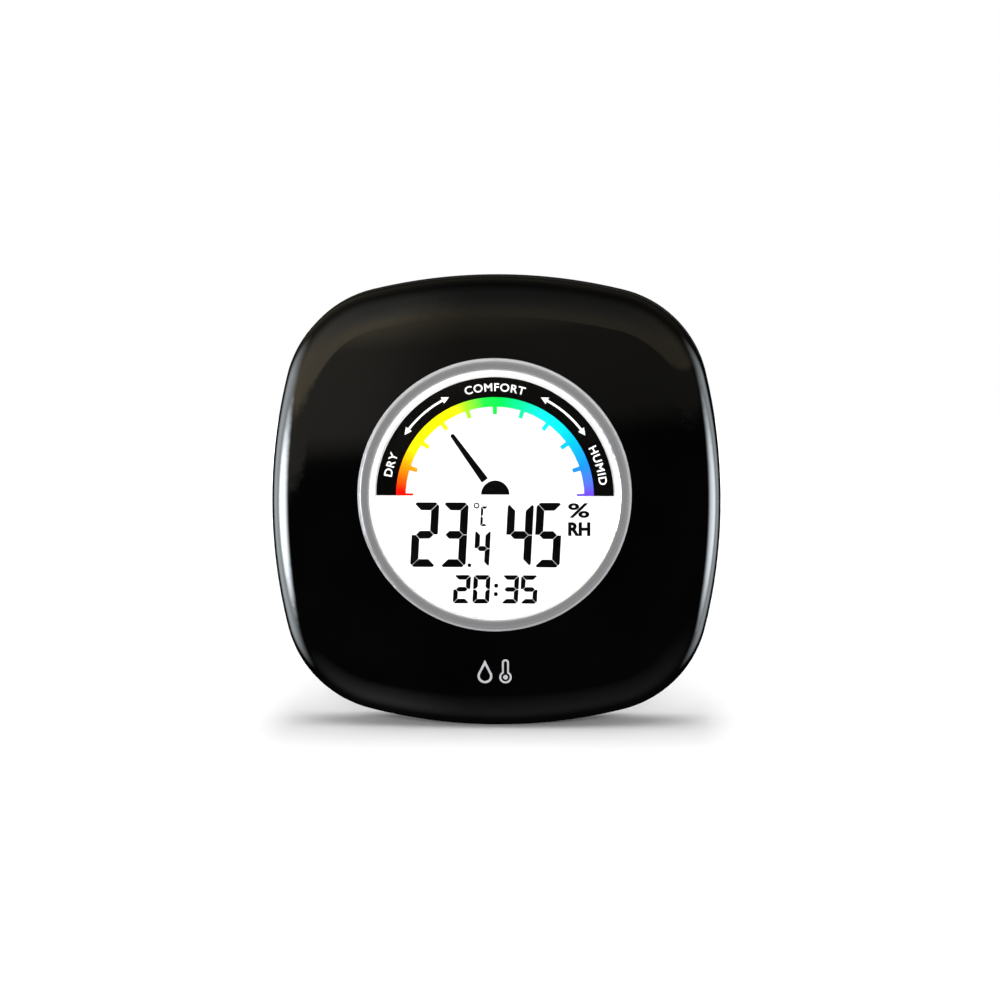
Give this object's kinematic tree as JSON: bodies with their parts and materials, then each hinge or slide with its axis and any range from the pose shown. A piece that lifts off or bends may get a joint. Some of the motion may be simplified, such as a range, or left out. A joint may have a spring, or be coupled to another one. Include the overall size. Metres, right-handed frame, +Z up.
{
  "type": "digital thermo-hygrometer",
  "caption": "Upright square desk thermo-hygrometer with a domed case, round display window, comfort scale, fold-down foot, battery door and rear keys.",
  "frame": {"origin": "middle of the footprint on the table, with the foot folded down behind the case", "axes": "+Z up, +Y to the back where the foot lies, -Y the way the display looks, +X to the right of someone facing the display"},
  "size_m": [0.095, 0.0578, 0.095],
  "materials": {
    "case_black": "gloss, moulded ABS",
    "foot_black": "fine satin, moulded ABS",
    "key_black": "satin",
    "ring_silver": "satin, turned and anodised",
    "lens_clear": "polished acrylic",
    "tape": "matt adhesive tape",
    "foam": "closed-cell foam",
    "film_clear": "clear film",
    "glass_clear": "polished glass",
    "seal_clear": "cured epoxy",
    "reflector_white": "matt white film",
    "print_black": "screen print",
    "print_colours": "screen print, red through yellow, green and blue to violet",
    "print_white": "screen print",
    "segment_dark": "dark liquid crystal",
    "frame_white": "satin moulding",
    "zebra": "layered silicone",
    "board_green": "solder resist",
    "epoxy_black": "cured epoxy",
    "can_metal": "bare metal",
    "chip_brown": "ceramic",
    "sensor_white": "satin",
    "bead_dark": "dipped resin",
    "switch_black": "moulded",
    "screw_steel": "zinc plated",
    "cell_sleeve": "printed sleeve",
    "contact_nickel": "nickel plated",
    "lead_red": "PVC insulation",
    "lead_black": "PVC insulation",
    "pad_rubber": "matt rubber"
  },
  "bodies": {
    "case": {"front_cover": "case_black", "rear_cover": "case_black", "bezel_ring": "ring_silver", "window_lens": "lens_clear", "window_tape": "tape", "dust_gasket": "foam", "lcd_front_polariser": "film_clear", "lcd_front_glass": "glass_clear", "lcd_edge_seal": "seal_clear", "lcd_rear_glass": "glass_clear", "lcd_reflector": "reflector_white", "scale_band": "print_black", "scale_colours": "print_colours", "scale_arrows": "print_white", "lcd_pointer": "segment_dark", "lcd_temperature": "segment_dark", "lcd_humidity": "segment_dark", "lcd_clock": "segment_dark", "lcd_frame": "frame_white", "zebra_strip": "zebra", "main_pcb": "board_green", "controller_blob": "epoxy_black", "clock_crystal": "can_metal", "capacitor": "can_metal", "chip_components": "chip_brown", "humidity_sensor": "sensor_white", "thermistor": "bead_dark", "key_switches": "switch_black", "case_screws": "screw_steel", "pcb_screws": "screw_steel", "battery_upper": "cell_sleeve", "battery_lower": "cell_sleeve", "terminal_positive": "contact_nickel", "terminal_negative": "contact_nickel", "terminal_bridge": "contact_nickel", "terminal_springs": "contact_nickel", "lead_red": "lead_red", "lead_black": "lead_black"},
    "foot": {"table_foot": "foot_black", "foot_pads": "pad_rubber"},
    "door": {"battery_door": "case_black"},
    "key_set": {"key_set": "key_black"},
    "key_mode": {"key_mode": "key_black"},
    "key_plus": {"key_plus": "key_black"},
    "key_minus": {"key_minus": "key_black"}
  },
  "joints": [
    {"name": "foot_fold", "type": "hinge", "parent": "case", "child": "foot", "pos_m": [0, -0.00415, 0.0054], "axis": [1, 0, 0], "range_deg": [0, 90]},
    {"name": "battery_door_swing", "type": "hinge", "parent": "case", "child": "door", "pos_m": [0, 0.00125, 0.04575], "axis": [-1, 0, 0], "range_deg": [0, 75]},
    {"name": "key_set_press", "type": "slide", "parent": "case", "child": "key_set", "axis": [0, -1, 0], "range_m": [0, 0.0006], "stiffness_N_per_m": 1000},
    {"name": "key_mode_press", "type": "slide", "parent": "case", "child": "key_mode", "axis": [0, -1, 0], "range_m": [0, 0.0006], "stiffness_N_per_m": 1000},
    {"name": "key_plus_press", "type": "slide", "parent": "case", "child": "key_plus", "axis": [0, -1, 0], "range_m": [0, 0.0006], "stiffness_N_per_m": 1000},
    {"name": "key_minus_press", "type": "slide", "parent": "case", "child": "key_minus", "axis": [0, -1, 0], "range_m": [0, 0.0006], "stiffness_N_per_m": 1000}
  ]
}
